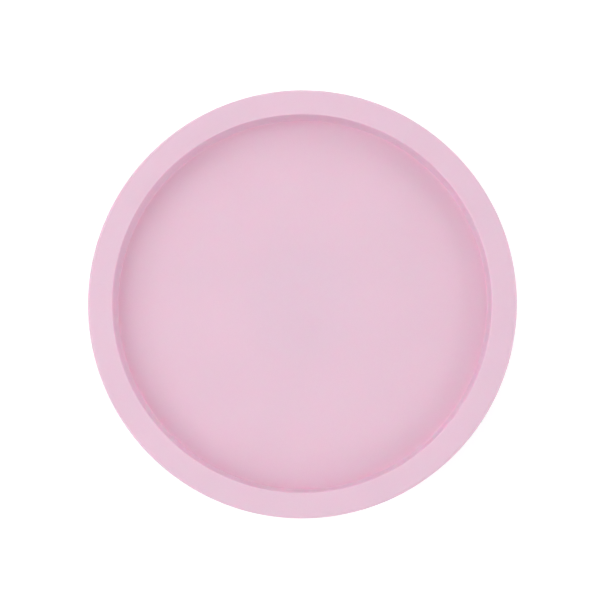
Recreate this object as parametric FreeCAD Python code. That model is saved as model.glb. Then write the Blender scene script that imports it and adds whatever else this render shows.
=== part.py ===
"""Cake turntable: a dished plate that spins on two ball bearings in a flared pedestal.

The plate is one moulding with a wide flat rim, a recess for a cake board and a ribbed underside. An
aluminium hub is screwed under it. A headed spindle passes down through the hub and both bearings, and a
circlip under the lower bearing keeps the stack together. The bearings sit in an aluminium housing that is
screwed onto the pedestal's deck. A cover closes the pedestal from below and carries push-in rubber feet.

Frame: +Z up, the spin axis is Z, and the origin lies on the surface that the feet stand on. Units are
millimetres.
"""

import FreeCAD
import Part
import math
import os

# ---- Sizes that are set --------------------------------------------------------------------------

overall_height = 84.0

# Top plate
plate_radius = 150.0
rim_width = 17.8
recess_depth = 16.3
plate_wall = 3.0
floor_thickness = 3.0
skirt_height = 26.0
recess_draft = 2.0  # degrees
skirt_draft = 1.0  # degrees
rim_outer_round = 2.2
rim_inner_round = 0.9
recess_foot_round = 1.3
plate_edge_round = 0.9
plate_rib_thickness = 2.0
plate_rib_height = 5.0
plate_rib_count = 12
gusset_count = 24
gusset_depth = 13.0

# Hub and the posts under the floor that it is screwed to
hub_overhang = 3.0
hub_flange = 4.0
hub_running_gap = 1.7
hub_fit = 0.3
hub_ring_height = 6.0
post_height = 4.0
post_radius = 4.8
hub_screw_inset = 9.0
hub_screw_count = 6
hub_screw_length = 8.6

# Spindle, its head above the hub and its circlip below the bearings
spindle_head_radius = 9.5
spindle_head_height = 2.5
spindle_chamfer = 0.6
spindle_tail = 1.8
circlip_thickness = 1.0
circlip_groove_depth = 0.25
circlip_width = 2.3
circlip_gap = 44.0  # degrees
circlip_hole_radius = 0.7
washer_thickness = 1.0

# Ball bearings, both the same
bearing_bore = 12.0
bearing_outer = 28.0
bearing_width = 8.0
ball_diameter = 4.762
ball_count = 8
race_depth = 1.1
race_play = 0.02
race_conformity = 1.04
ring_chamfer = 0.4
shield_thickness = 0.3
shield_inset = 0.3
shield_seat = 0.7
shield_gap = 0.25
cage_clearance = 0.35
cage_hook = 1.0
pocket_play = 0.08
inner_land = 2.2

# Bearing housing
housing_wall = 5.0
housing_flange = 4.0
housing_flange_width = 14.0
housing_lip = 1.0
housing_tail = 0.5
housing_screw_inset = 6.5
housing_screw_count = 4
housing_screw_length = 14.0
shoulder_height = 1.8

# Pedestal
deck_margin = 13.0
foot_radius = 98.0
foot_slope = 15.0  # degrees above level
foot_lip = 7.0
pedestal_wall = 3.0
deck_thickness = 4.0
deck_edge_round = 5.0
foot_edge_round = 2.5
pedestal_edge_round = 0.8
neck_straight = 3.0
tower_ring_wall = 3.5
tower_ring_depth = 14.0
web_thickness = 2.5
web_count = 6
web_foot = 12.0
housing_fit = 0.1
housing_boss_radius = 4.6
housing_boss_depth = 12.0

# Bottom cover, its screws and the rubber feet
cover_thickness = 3.0
cover_fit = 0.3
cover_edge_round = 0.6
cover_screw_inset = 20.7
cover_screw_count = 6
cover_screw_length = 10.0
cover_boss_radius = 4.6
cover_rib_height = 2.5
cover_rib_thickness = 2.0
cover_rib_count = 2
spindle_floor_gap = 3.0
foot_stand = 2.5
foot_pad_radius = 7.0
foot_seat_depth = 0.8
foot_seat_fit = 0.2
foot_pad_round = 1.0
foot_inset = 14.7
foot_count = 6
foot_stem_radius = 2.6
foot_barb_radius = 3.6
foot_barb_tip = 1.9
foot_barb_height = 2.5

# Countersunk cross-recess screws, all of one thread
screw_radius = 1.9
screw_head_radius = 3.9
screw_head_height = 2.2
screw_head_rim = 0.25
screw_tip = 0.8
screw_skin = 0.5
recess_arm = 2.3
recess_slot = 0.9
recess_floor = 1.5

# ---- Places worked out from them -----------------------------------------------------------------

FULL_TURN = 360.0
UP = FreeCAD.Vector(0, 0, 1)
ORIGIN = FreeCAD.Vector(0, 0, 0)
OVERLAP = 0.5  # how far a rib or boss runs into the wall that it joins

spindle_radius = bearing_bore / 2
recess_radius = plate_radius - rim_width
recess_foot_radius = recess_radius - recess_depth * math.tan(math.radians(recess_draft))
skirt_bottom_radius = plate_radius - skirt_height * math.tan(math.radians(skirt_draft))
skirt_bottom = overall_height - skirt_height
rim_underside = overall_height - plate_wall
floor_top = overall_height - recess_depth
floor_underside = floor_top - floor_thickness

housing_radius = bearing_outer / 2 + housing_wall
housing_flange_radius = housing_radius + housing_flange_width
housing_screw_circle = housing_flange_radius - housing_screw_inset
housing_hole_radius = housing_radius + housing_fit
tower_ring_radius = housing_hole_radius + tower_ring_wall
neck_radius = housing_flange_radius + deck_margin

hub_radius = housing_flange_radius + hub_overhang
hub_screw_circle = hub_radius - hub_screw_inset
hub_top = floor_underside - post_height
hub_bottom = hub_top - hub_flange
hub_ring_inner = hub_radius + hub_fit
hub_ring_outer = hub_ring_inner + plate_rib_thickness
mid_ring_radius = (hub_ring_outer + recess_foot_radius) / 2

housing_top = hub_bottom - hub_running_gap
deck_top = housing_top - housing_flange
deck_underside = deck_top - deck_thickness
upper_bearing_top = housing_top - housing_lip
upper_bearing_bottom = upper_bearing_top - bearing_width

cover_bottom = foot_stand
cover_top = cover_bottom + cover_thickness
spindle_end = cover_top + spindle_floor_gap
circlip_bottom = spindle_end + spindle_tail
washer_bottom = circlip_bottom + circlip_thickness
lower_bearing_bottom = washer_bottom + washer_thickness
lower_bearing_top = lower_bearing_bottom + bearing_width
housing_bottom = lower_bearing_bottom - housing_tail

pedestal_bottom = foot_stand
cover_radius = foot_radius - pedestal_wall - cover_fit
cover_screw_circle = cover_radius - cover_screw_inset
cover_rib_spacing = (cover_screw_circle - cover_boss_radius) / (cover_rib_count + 1)
foot_circle = cover_radius - foot_inset

ball_radius = ball_diameter / 2
pitch_radius = (bearing_bore + bearing_outer) / 4
inner_race_radius = pitch_radius - ball_radius - race_play
outer_race_radius = pitch_radius + ball_radius + race_play
inner_ring_outer = inner_race_radius + race_depth
outer_ring_inner = outer_race_radius - race_depth
groove_radius = ball_radius * race_conformity
shield_rebate_radius = outer_ring_inner + shield_seat
shield_level = bearing_width / 2 - shield_inset - shield_thickness


# ---- Shape helpers -------------------------------------------------------------------------------


def corner(before, at, after, radius):
    """The tangent arc of a corner: its first, middle and last point."""
    back = (before - at).normalize()
    ahead = (after - at).normalize()
    half = back.getAngle(ahead) / 2
    inwards = (back + ahead).normalize()
    centre = at + inwards * (radius / math.sin(half))
    reach = radius / math.tan(half)
    return at + back * reach, centre - inwards * radius, at + ahead * reach


def outline(corners):
    """A closed wire in the XZ plane through (r, z, rounding) corners, with an arc where there is rounding."""
    points = [FreeCAD.Vector(r, 0, z) for r, z, _ in corners]
    edges = []
    stops = []
    for i, (_, _, radius) in enumerate(corners):
        if radius:
            first, middle, last = corner(points[i - 1], points[i], points[(i + 1) % len(points)], radius)
            edges.append(Part.Arc(first, middle, last).toShape())
            stops.append((first, last))
        else:
            stops.append((points[i], points[i]))
    for i, (first, _) in enumerate(stops):
        start = stops[i - 1][1]
        if start.distanceToPoint(first) > 1e-6:
            edges.append(Part.LineSegment(start, first).toShape())
    return Part.Wire(Part.__sortEdges__(edges))


def turned(corners):
    """A solid of revolution about Z from (r, z, rounding) corners."""
    return Part.Face(outline(corners)).revolve(ORIGIN, UP, FULL_TURN)


def ring(inner, outer, low, high, chamfer=0.0):
    """A plain ring, or a disc where the inner radius is 0, with its outer edges chamfered."""
    corners = [(inner, low, 0), (outer - chamfer, low, 0)]
    if chamfer:
        corners += [(outer, low + chamfer, 0), (outer, high - chamfer, 0)]
    corners += [(outer - chamfer, high, 0), (inner, high, 0)]
    return turned(corners)


def cylinder(radius, low, high, x=0.0, y=0.0):
    """A solid cylinder parallel to Z."""
    return Part.makeCylinder(radius, high - low, FreeCAD.Vector(x, y, low), UP)


def around(count, radius, first=0.0):
    """(angle, x, y) of places evenly spaced on a circle, the angles in degrees."""
    angles = [first + FULL_TURN * i / count for i in range(count)]
    return [(a, radius * math.cos(math.radians(a)), radius * math.sin(math.radians(a))) for a in angles]


def radial_plate(angle, thickness, inner, outer, low, high):
    """An upright plate that runs outwards from the axis, from the inner to the outer radius."""
    plate = Part.makeBox(outer - inner, thickness, high - low, FreeCAD.Vector(inner, -thickness / 2, low))
    plate.rotate(ORIGIN, UP, angle)
    return plate


def placed(shape, x, y, z, flipped=False):
    """A copy of a shape modelled at the origin, moved to a place and turned upside down if asked."""
    copy = shape.copy()
    if flipped:
        copy.rotate(ORIGIN, FreeCAD.Vector(1, 0, 0), FULL_TURN / 2)
    copy.translate(FreeCAD.Vector(x, y, z))
    return copy


# ---- Screws --------------------------------------------------------------------------------------


def screw(length):
    """A countersunk screw whose flat head lies at z 0 and whose point looks down, with a cross recess."""
    shank_top = -screw_head_height
    body = turned(
        [
            (0, 0, 0),
            (screw_head_radius, 0, 0),
            (screw_head_radius, -screw_head_rim, 0),
            (screw_radius, shank_top, 0),
            (screw_radius, screw_tip - length, 0),
            (screw_radius - screw_tip, -length, 0),
            (0, -length, 0),
        ]
    )
    arms = []
    for turn in (0, 90):
        arm = Part.makeBox(2 * recess_arm, recess_slot, recess_floor)
        arm.translate(FreeCAD.Vector(-recess_arm, -recess_slot / 2, -recess_floor))
        arm.rotate(ORIGIN, UP, turn)
        arms.append(arm)
    return body.cut(arms)


def screw_hole(length):
    """The space that a countersunk screw of this length fills, with room past its point."""
    return turned(
        [
            (0, 0, 0),
            (screw_head_radius, 0, 0),
            (screw_head_radius, -screw_head_rim, 0),
            (screw_radius, -screw_head_height, 0),
            (screw_radius, -length - screw_skin, 0),
            (0, -length - screw_skin, 0),
        ]
    )


def screws(count, circle, first, z, length, flipped):
    """A set of identical screws on a circle, their heads at height z."""
    return [placed(screw(length), x, y, z, flipped) for _, x, y in around(count, circle, first)]


def screw_holes(count, circle, first, z, length, flipped):
    """The holes for such a set."""
    return [placed(screw_hole(length), x, y, z, flipped) for _, x, y in around(count, circle, first)]


hub_screw_set = {
    "count": hub_screw_count,
    "circle": hub_screw_circle,
    "first": 0,
    "z": hub_bottom,
    "length": hub_screw_length,
    "flipped": True,
}
housing_screw_set = {
    "count": housing_screw_count,
    "circle": housing_screw_circle,
    "first": FULL_TURN / housing_screw_count / 2,
    "z": housing_top,
    "length": housing_screw_length,
    "flipped": False,
}
cover_screw_set = {
    "count": cover_screw_count,
    "circle": cover_screw_circle,
    "first": FULL_TURN / cover_screw_count / 2,
    "z": cover_bottom,
    "length": cover_screw_length,
    "flipped": True,
}


# ---- Top plate -----------------------------------------------------------------------------------


def top_plate():
    """The dished plate: rim, recess and skirt in one wall, with ribs, gussets and screw posts underneath."""
    skin = turned(
        [
            (0, floor_top, 0),
            (recess_foot_radius, floor_top, recess_foot_round),
            (recess_radius, overall_height, rim_inner_round),
            (plate_radius, overall_height, rim_outer_round),
            (skirt_bottom_radius, skirt_bottom, plate_edge_round),
            (skirt_bottom_radius - plate_wall, skirt_bottom, plate_edge_round),
            (plate_radius - plate_wall, rim_underside, plate_edge_round),
            (recess_radius + plate_wall, rim_underside, plate_edge_round),
            (recess_foot_radius + plate_wall, floor_underside, plate_edge_round),
            (0, floor_underside, 0),
        ]
    )
    below = floor_underside - plate_rib_height
    into_floor = floor_underside + OVERLAP
    parts = [
        ring(hub_ring_inner, hub_ring_outer, floor_underside - hub_ring_height, into_floor),
        ring(mid_ring_radius, mid_ring_radius + plate_rib_thickness, below, into_floor),
    ]
    for angle, _, _ in around(plate_rib_count, 1, FULL_TURN / plate_rib_count / 2):
        inner = hub_ring_outer - OVERLAP
        parts.append(radial_plate(angle, plate_rib_thickness, inner, recess_foot_radius, below, into_floor))
    for angle, _, _ in around(gusset_count, 1, FULL_TURN / gusset_count / 2):
        inner = recess_foot_radius + plate_wall - OVERLAP
        outer = plate_radius - plate_wall / 2
        low = rim_underside - gusset_depth
        high = rim_underside + OVERLAP
        parts.append(radial_plate(angle, plate_rib_thickness, inner, outer, low, high))
    for _, x, y in around(hub_screw_count, hub_screw_circle):
        parts.append(cylinder(post_radius, hub_top, into_floor, x, y))
    return skin.fuse(parts).cut(screw_holes(**hub_screw_set))


# ---- Hub and spindle -----------------------------------------------------------------------------


def plate_hub():
    """The flanged hub under the plate, whose nose stands on the upper bearing's inner ring."""
    nose_radius = spindle_radius + inner_land
    body = turned(
        [
            (spindle_radius, upper_bearing_top, 0),
            (nose_radius, upper_bearing_top, 0),
            (nose_radius, hub_bottom, 0),
            (hub_radius - ring_chamfer, hub_bottom, 0),
            (hub_radius, hub_bottom + ring_chamfer, 0),
            (hub_radius, hub_top - ring_chamfer, 0),
            (hub_radius - ring_chamfer, hub_top, 0),
            (spindle_radius, hub_top, 0),
        ]
    )
    return body.cut(screw_holes(**hub_screw_set))


def spindle():
    """The headed spindle, with the circlip's groove near its lower end."""
    head_top = hub_top + spindle_head_height
    groove = ring(spindle_radius - circlip_groove_depth, bearing_bore, circlip_bottom, washer_bottom)
    body = turned(
        [
            (0, spindle_end, 0),
            (spindle_radius - spindle_chamfer, spindle_end, 0),
            (spindle_radius, spindle_end + spindle_chamfer, 0),
            (spindle_radius, hub_top, 0),
            (spindle_head_radius, hub_top, 0),
            (spindle_head_radius, head_top - spindle_chamfer, 0),
            (spindle_head_radius - spindle_chamfer, head_top, 0),
            (0, head_top, 0),
        ]
    )
    return body.cut(groove)


def circlip():
    """The open ring in the spindle's groove, with a plier hole in the lug at each end."""
    inner = spindle_radius - circlip_groove_depth
    outer = inner + circlip_width
    lug_circle = outer - circlip_hole_radius
    lug_radius = 2 * circlip_hole_radius
    body = ring(inner, outer, circlip_bottom, washer_bottom)
    lug_angle = circlip_gap / 2 + math.degrees(lug_radius / lug_circle)
    lugs = []
    holes = []
    for angle in (-lug_angle, lug_angle):
        x = lug_circle * math.cos(math.radians(angle))
        y = lug_circle * math.sin(math.radians(angle))
        lugs.append(cylinder(lug_radius, circlip_bottom, washer_bottom, x, y))
        holes.append(cylinder(circlip_hole_radius, circlip_bottom, washer_bottom, x, y))
    opening = Part.makeCylinder(bearing_outer, circlip_thickness, ORIGIN, UP, circlip_gap)
    opening.rotate(ORIGIN, UP, -circlip_gap / 2)
    opening.translate(FreeCAD.Vector(0, 0, circlip_bottom))
    bore = cylinder(inner, circlip_bottom, washer_bottom)
    return body.fuse(lugs).cut(holes + [opening, bore])


def shim_washer():
    """The washer between the circlip and the lower bearing's inner ring."""
    return ring(spindle_radius, spindle_radius + inner_land, washer_bottom, lower_bearing_bottom)


def bearing_spacer():
    """The tube that keeps the two inner rings apart."""
    return ring(spindle_radius, spindle_radius + inner_land, lower_bearing_top, upper_bearing_bottom)


# ---- Ball bearings -------------------------------------------------------------------------------


def race_groove(centre_radius, middle):
    """The ring-shaped cutter of a ball groove."""
    return Part.makeTorus(centre_radius, groove_radius, FreeCAD.Vector(0, 0, middle), UP)


def inner_ring(middle):
    """A bearing's inner ring."""
    half = bearing_width / 2
    body = ring(spindle_radius, inner_ring_outer, middle - half, middle + half, ring_chamfer)
    return body.cut(race_groove(inner_race_radius + groove_radius, middle))


def outer_ring(middle):
    """A bearing's outer ring, with a rebate at each face for a shield."""
    half = bearing_width / 2
    body = ring(outer_ring_inner, bearing_outer / 2, middle - half, middle + half, ring_chamfer)
    rebates = [
        cylinder(shield_rebate_radius, middle + shield_level, middle + half),
        cylinder(shield_rebate_radius, middle - half, middle - shield_level),
    ]
    return body.cut([race_groove(outer_race_radius - groove_radius, middle)] + rebates)


def shields(middle):
    """The two thin discs that close a bearing, seated in the outer ring."""
    inner = inner_ring_outer + shield_gap
    high = middle + shield_level
    low = middle - shield_level - shield_thickness
    return [
        ring(inner, shield_rebate_radius, high, high + shield_thickness),
        ring(inner, shield_rebate_radius, low, low + shield_thickness),
    ]


def balls(middle, radius=ball_radius):
    """A bearing's balls, or their pockets where the radius is a pocket's."""
    places = around(ball_count, pitch_radius)
    return [Part.makeSphere(radius, FreeCAD.Vector(x, y, middle)) for _, x, y in places]


def ball_cage(middle):
    """The crown cage: a ring below the balls, with pockets that hook over them."""
    inner = inner_ring_outer + cage_clearance
    outer = outer_ring_inner - cage_clearance
    body = ring(inner, outer, middle - shield_level + cage_clearance, middle + cage_hook)
    return body.cut(balls(middle, ball_radius + pocket_play))


# ---- Bearing housing -----------------------------------------------------------------------------


def bearing_housing():
    """The flanged tube that holds both outer rings against the shoulders of its narrower middle."""
    bore = bearing_outer / 2
    body = turned(
        [
            (bore, housing_bottom, 0),
            (housing_radius - ring_chamfer, housing_bottom, 0),
            (housing_radius, housing_bottom + ring_chamfer, 0),
            (housing_radius, deck_top, 0),
            (housing_flange_radius - ring_chamfer, deck_top, 0),
            (housing_flange_radius, deck_top + ring_chamfer, 0),
            (housing_flange_radius, housing_top - ring_chamfer, 0),
            (housing_flange_radius - ring_chamfer, housing_top, 0),
            (bore, housing_top, 0),
            (bore, upper_bearing_bottom, 0),
            (bore - shoulder_height, upper_bearing_bottom, 0),
            (bore - shoulder_height, lower_bearing_top, 0),
            (bore, lower_bearing_top, 0),
        ]
    )
    return body.cut(screw_holes(**housing_screw_set))


# ---- Pedestal ------------------------------------------------------------------------------------


def pedestal_solid(inset):
    """The pedestal filled in, with its outer surface set in by an amount. The flare is one tangent arc."""
    slope = math.radians(foot_slope)
    rise = math.tan(slope)
    lip_top = pedestal_bottom + foot_lip
    crossing = lip_top + (foot_radius - neck_radius) * rise
    flare_top = deck_top - deck_edge_round - neck_straight
    flare_radius = (flare_top - crossing) / math.tan((math.pi / 2 - slope) / 2)
    lowered = inset / math.cos(slope)
    neck = neck_radius - inset
    foot = foot_radius - inset
    return turned(
        [
            (0, pedestal_bottom, 0),
            (foot, pedestal_bottom, 0),
            (foot, lip_top + inset * rise - lowered, max(foot_edge_round - inset, 0)),
            (neck, crossing + inset * rise - lowered, flare_radius + inset),
            (neck, deck_top - inset, max(deck_edge_round - inset, 0)),
            (0, deck_top - inset, 0),
        ]
    )


def pedestal_shell():
    """The flared shell, with its deck, the ring and webs that stiffen it, and the bosses for the screws."""
    cavity = pedestal_solid(pedestal_wall).cut(ring(0, foot_radius, deck_underside, deck_top))
    shell = pedestal_solid(0).cut(cavity)
    joins = pedestal_solid(pedestal_wall / 2)
    stiffeners = [cylinder(tower_ring_radius, deck_underside - tower_ring_depth, deck_underside + OVERLAP)]
    for _, x, y in around(housing_screw_count, housing_screw_circle, housing_screw_set["first"]):
        low = deck_underside - housing_boss_depth
        stiffeners.append(cylinder(housing_boss_radius, low, deck_underside + OVERLAP, x, y))
    for angle, _, _ in around(web_count, 1):
        low = cover_top + web_foot
        high = deck_underside + OVERLAP
        web = radial_plate(angle, web_thickness, housing_hole_radius, foot_radius, low, high)
        stiffeners.append(web.common(joins))
    for _, x, y in around(cover_screw_count, cover_screw_circle, cover_screw_set["first"]):
        stiffeners.append(cylinder(cover_boss_radius, cover_top, deck_top, x, y).common(joins))
    tower_hole = cylinder(housing_hole_radius, pedestal_bottom, deck_top)
    cutters = [tower_hole] + screw_holes(**housing_screw_set) + screw_holes(**cover_screw_set)
    return shell.fuse(stiffeners).cut(cutters)


# ---- Bottom cover and feet -----------------------------------------------------------------------


def bottom_cover():
    """The disc that closes the pedestal, with countersunk holes, seats for the feet and two ribs inside."""
    disc = turned(
        [
            (0, cover_bottom, 0),
            (cover_radius, cover_bottom, cover_edge_round),
            (cover_radius, cover_top, 0),
            (0, cover_top, 0),
        ]
    )
    rib_top = cover_top + cover_rib_height
    ribs = []
    for number in range(1, cover_rib_count + 1):
        radius = number * cover_rib_spacing
        ribs.append(ring(radius, radius + cover_rib_thickness, cover_top - OVERLAP, rib_top))
    cutters = screw_holes(**cover_screw_set)
    for _, x, y in around(foot_count, foot_circle):
        seat_top = cover_bottom + foot_seat_depth
        cutters.append(cylinder(foot_pad_radius + foot_seat_fit, cover_bottom, seat_top, x, y))
        cutters.append(cylinder(foot_stem_radius, cover_bottom, cover_top, x, y))
    return disc.fuse(ribs).cut(cutters)


def rubber_foot():
    """A push-in foot: a round pad, a stem through the cover and a barb that holds it."""
    return turned(
        [
            (0, 0, 0),
            (foot_pad_radius, 0, foot_pad_round),
            (foot_pad_radius, cover_bottom + foot_seat_depth, 0),
            (foot_stem_radius, cover_bottom + foot_seat_depth, 0),
            (foot_stem_radius, cover_top, 0),
            (foot_barb_radius, cover_top, 0),
            (foot_barb_tip, cover_top + foot_barb_height, 0),
            (0, cover_top + foot_barb_height, 0),
        ]
    )


# ---- Nodes ---------------------------------------------------------------------------------------


def write(name, *solids):
    """Writes one node's STEP file, after testing that each of its solids is valid and whole."""
    for solid in solids:
        if not solid.isValid() or len(solid.Solids) != 1:
            raise ValueError(f"{name} has a broken solid: {len(solid.Solids)} pieces")
    wholes = [solid.Solids[0] for solid in solids]
    shape = wholes[0] if len(wholes) == 1 else Part.makeCompound(wholes)
    shape.exportStep(f"parts/{name}.step")
    print(f"{name}: {len(wholes)} solid(s), {sum(s.Volume for s in wholes) / 1000:.2f} cm3")


def main():
    """Builds every node and writes it to parts/."""
    os.makedirs("parts", exist_ok=True)
    write("top_plate", top_plate())
    write("plate_hub", plate_hub())
    write("hub_screws", *screws(**hub_screw_set))
    write("spindle", spindle())
    write("circlip", circlip())
    write("shim_washer", shim_washer())
    write("bearing_spacer", bearing_spacer())
    for place, low in (("upper", upper_bearing_bottom), ("lower", lower_bearing_bottom)):
        middle = low + bearing_width / 2
        write(f"{place}_bearing_inner_ring", inner_ring(middle))
        write(f"{place}_bearing_outer_ring", outer_ring(middle))
        write(f"{place}_bearing_shields", *shields(middle))
        write(f"{place}_bearing_balls", *balls(middle))
        write(f"{place}_bearing_cage", ball_cage(middle))
    write("bearing_housing", bearing_housing())
    write("housing_screws", *screws(**housing_screw_set))
    write("pedestal_shell", pedestal_shell())
    write("bottom_cover", bottom_cover())
    write("cover_screws", *screws(**cover_screw_set))
    foot = rubber_foot()
    for number, (_, x, y) in enumerate(around(foot_count, foot_circle), 1):
        write(f"rubber_foot_{number}", placed(foot, x, y, 0))


main()
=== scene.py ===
"""Looks of a cake turntable: a dished pink plate that spins on a flared pedestal.

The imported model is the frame. The moulded pieces and the rubber feet are modelled here in full detail and
stand for their plain nodes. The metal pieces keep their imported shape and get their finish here.

Lengths are in metres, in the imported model's frame: +Z up, the spin axis is Z, the feet stand on z = 0.
"""

import logging
import math
from dataclasses import dataclass
from enum import Enum
from typing import ClassVar, NamedTuple, Sequence

import bmesh
import bpy
from mathutils import Matrix, Vector


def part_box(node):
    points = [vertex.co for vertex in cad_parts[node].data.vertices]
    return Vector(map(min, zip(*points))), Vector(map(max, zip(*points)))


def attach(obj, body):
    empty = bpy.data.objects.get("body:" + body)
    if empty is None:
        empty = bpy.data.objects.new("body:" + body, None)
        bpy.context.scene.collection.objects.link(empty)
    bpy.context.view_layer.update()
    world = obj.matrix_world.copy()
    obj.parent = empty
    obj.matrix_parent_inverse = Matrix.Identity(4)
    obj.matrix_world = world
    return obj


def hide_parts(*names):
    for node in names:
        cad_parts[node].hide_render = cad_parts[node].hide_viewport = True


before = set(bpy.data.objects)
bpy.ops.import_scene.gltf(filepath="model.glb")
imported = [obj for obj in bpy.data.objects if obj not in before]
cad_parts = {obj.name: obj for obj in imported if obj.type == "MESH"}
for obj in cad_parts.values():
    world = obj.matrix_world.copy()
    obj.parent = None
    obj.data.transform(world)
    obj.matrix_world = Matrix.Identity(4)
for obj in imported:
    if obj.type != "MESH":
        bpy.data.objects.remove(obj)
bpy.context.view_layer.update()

LOG = logging.getLogger("turntable")
MM = 0.001
FULL_TURN = 2 * math.pi
Z_AXIS = Vector((0, 0, 1))
ORIGIN = Vector((0, 0, 0))

TURN_STEPS = 256
SMALL_TURN_STEPS = 64
ARC_SAG = 0.01 * MM
MIN_ARC_SEGMENTS = 4
WELD = 0.0005 * MM
JOIN_DEPTH = 0.5 * MM
FILLET_SINK = 0.02 * MM
RIB_DRAFT = math.radians(1)
RIB_ROUND = 0.35 * MM
ROOT_SPREAD = 2
SHARP_ANGLE = math.radians(32)

# Most of a noise's values lie between these two.
NOISE_LOW = 0.3
NOISE_HIGH = 0.7
# The wave texture's phase over a unit of distance at a scale of 1, in radians.
WAVE_RATE = 20
# The places of a Mix node's colour sockets, whose names aren't unique.
MIX_FIRST = 6
MIX_SECOND = 7
MIX_RESULT = 2

# Short names for types.
Skin = bmesh.types.BMesh
Object = bpy.types.Object
Socket = bpy.types.NodeSocket
Material = bpy.types.Material
Palette = dict[str, Material]
Colour = tuple[float, float, float]


# ---- Mesh building ----


class Corner(NamedTuple):
    """A corner of an outline: its distance from the axis, its height and how far it is rounded."""

    radius: float
    height: float
    rounding: float = 0.0


class Operation(Enum):
    """How one closed skin is combined with another."""

    JOIN = "UNION"
    CUT = "DIFFERENCE"
    TRIM = "INTERSECT"


def as_mesh(name: str, skin: Skin) -> bpy.types.Mesh:
    """Turns a skin into a mesh, whose parts come in the same order on every run.

    Args:
        name: The mesh's name.
        skin: The skin, which is freed.

    Returns:
        The mesh.
    """
    for index, vert in enumerate(sorted(skin.verts, key=lambda v: v.co[:])):
        vert.index = index
    skin.verts.sort()
    for parts in (skin.edges, skin.faces):
        for index, part in enumerate(sorted(parts, key=lambda p: sorted(v.index for v in p.verts))):
            part.index = index
        parts.sort()
    mesh = bpy.data.meshes.new(name)
    skin.to_mesh(mesh)
    skin.free()
    return mesh


def added(name: str, data: bpy.types.ID) -> Object:
    """Adds an object to the scene, at the origin.

    Args:
        name: The object's name.
        data: Its mesh, lamp or camera.

    Returns:
        The object.
    """
    obj = bpy.data.objects.new(name, data)
    bpy.context.scene.collection.objects.link(obj)
    return obj


def arc_segments(radius: float, turn: float) -> int:
    """Returns how many segments keep an arc within the sag limit, by its radius and turn in radians."""
    step = 2 * math.acos(max(0.0, 1 - ARC_SAG / radius))
    return max(MIN_ARC_SEGMENTS, math.ceil(turn / step))


def wire(corners: Sequence[Corner], closed: bool) -> Skin:
    """Draws an outline in the XZ plane, with its corners rounded to tangent arcs.

    Args:
        corners: The outline's corners, in order.
        closed: Whether the last corner is joined to the first.

    Returns:
        A mesh that holds the outline as loose edges.
    """
    bm = bmesh.new()
    verts = [bm.verts.new((c.radius, 0, c.height)) for c in corners]
    for i in range(0 if closed else 1, len(verts)):
        bm.edges.new((verts[i - 1], verts[i]))
    spots = [v.co.copy() for v in verts]
    for i, (vert, corner) in enumerate(zip(verts, corners)):
        if not corner.rounding:
            continue
        back = spots[i - 1] - spots[i]
        ahead = spots[(i + 1) % len(spots)] - spots[i]
        inside = back.angle(ahead)
        bmesh.ops.bevel(
            bm,
            geom=[vert],
            offset=corner.rounding / math.tan(inside / 2),
            offset_type="OFFSET",
            segments=arc_segments(corner.rounding, math.pi - inside),
            profile=0.5,
            affect="VERTICES",
            material=-1,
            clamp_overlap=False,
        )
    return bm


def turned(corners: Sequence[Corner], steps: int = TURN_STEPS) -> Skin:
    """Makes a closed skin of revolution about Z.

    Args:
        corners: The outline. It is closed into a ring, unless it starts and ends on the axis.
        steps: Number of steps round the axis.

    Returns:
        The skin, with its faces pointing outwards.
    """
    on_axis = corners[0].radius == 0 and corners[-1].radius == 0
    bm = wire(corners, closed=not on_axis)
    bmesh.ops.spin(
        bm,
        geom=bm.verts[:] + bm.edges[:],
        cent=ORIGIN,
        axis=Z_AXIS,
        angle=FULL_TURN,
        steps=steps,
        use_merge=True,
        use_duplicate=False,
    )
    bmesh.ops.remove_doubles(bm, verts=bm.verts[:], dist=WELD)
    bmesh.ops.recalc_face_normals(bm, faces=bm.faces[:])
    return bm


def extruded(corners: Sequence[Corner], start: float, end: float) -> Skin:
    """Makes a straight bar that runs out along X.

    Args:
        corners: Its section, as distances to the side and heights.
        start: Where it starts on X.
        end: Where it ends.

    Returns:
        The bar's skin, with its faces pointing outwards.
    """
    bm = wire(corners, closed=True)
    section = bmesh.ops.contextual_create(bm, geom=bm.edges[:])["faces"]
    grown = bmesh.ops.extrude_face_region(bm, geom=section, use_keep_orig=True)["geom"]
    far = [v for v in grown if isinstance(v, bmesh.types.BMVert)]
    bmesh.ops.translate(bm, vec=(0, start - end, 0), verts=far)
    bmesh.ops.translate(bm, vec=(0, -start, 0), verts=bm.verts[:])
    bmesh.ops.rotate(bm, cent=ORIGIN, matrix=Matrix.Rotation(math.pi / 2, 3, "Z"), verts=bm.verts[:])
    bmesh.ops.recalc_face_normals(bm, faces=bm.faces[:])
    return bm


def rib(middle: float, root: float, tip: float, thickness: float, fillet: float) -> list[Corner]:
    """Outlines a moulded rib that hangs from a floor: tapered, rounded at its tip and filleted at its root.

    Args:
        middle: The distance of its middle from the axis, or from the middle plane of a bar.
        root: The height of the floor that it hangs from.
        tip: The height of its lower edge.
        thickness: Its thickness at its root.
        fillet: The radius of its root fillets.

    Returns:
        The corners, from the axis side of the root round the tip to the far side.
    """
    half = thickness / 2
    taper = (root - tip) * math.tan(RIB_DRAFT)
    spread = half + ROOT_SPREAD * fillet
    inside = root + FILLET_SINK
    return [
        Corner(middle - spread, root + JOIN_DEPTH),
        Corner(middle - spread, inside),
        Corner(middle - half, inside, fillet),
        Corner(middle - half + taper, tip, RIB_ROUND),
        Corner(middle + half - taper, tip, RIB_ROUND),
        Corner(middle + half, inside, fillet),
        Corner(middle + spread, inside),
        Corner(middle + spread, root + JOIN_DEPTH),
    ]


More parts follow.
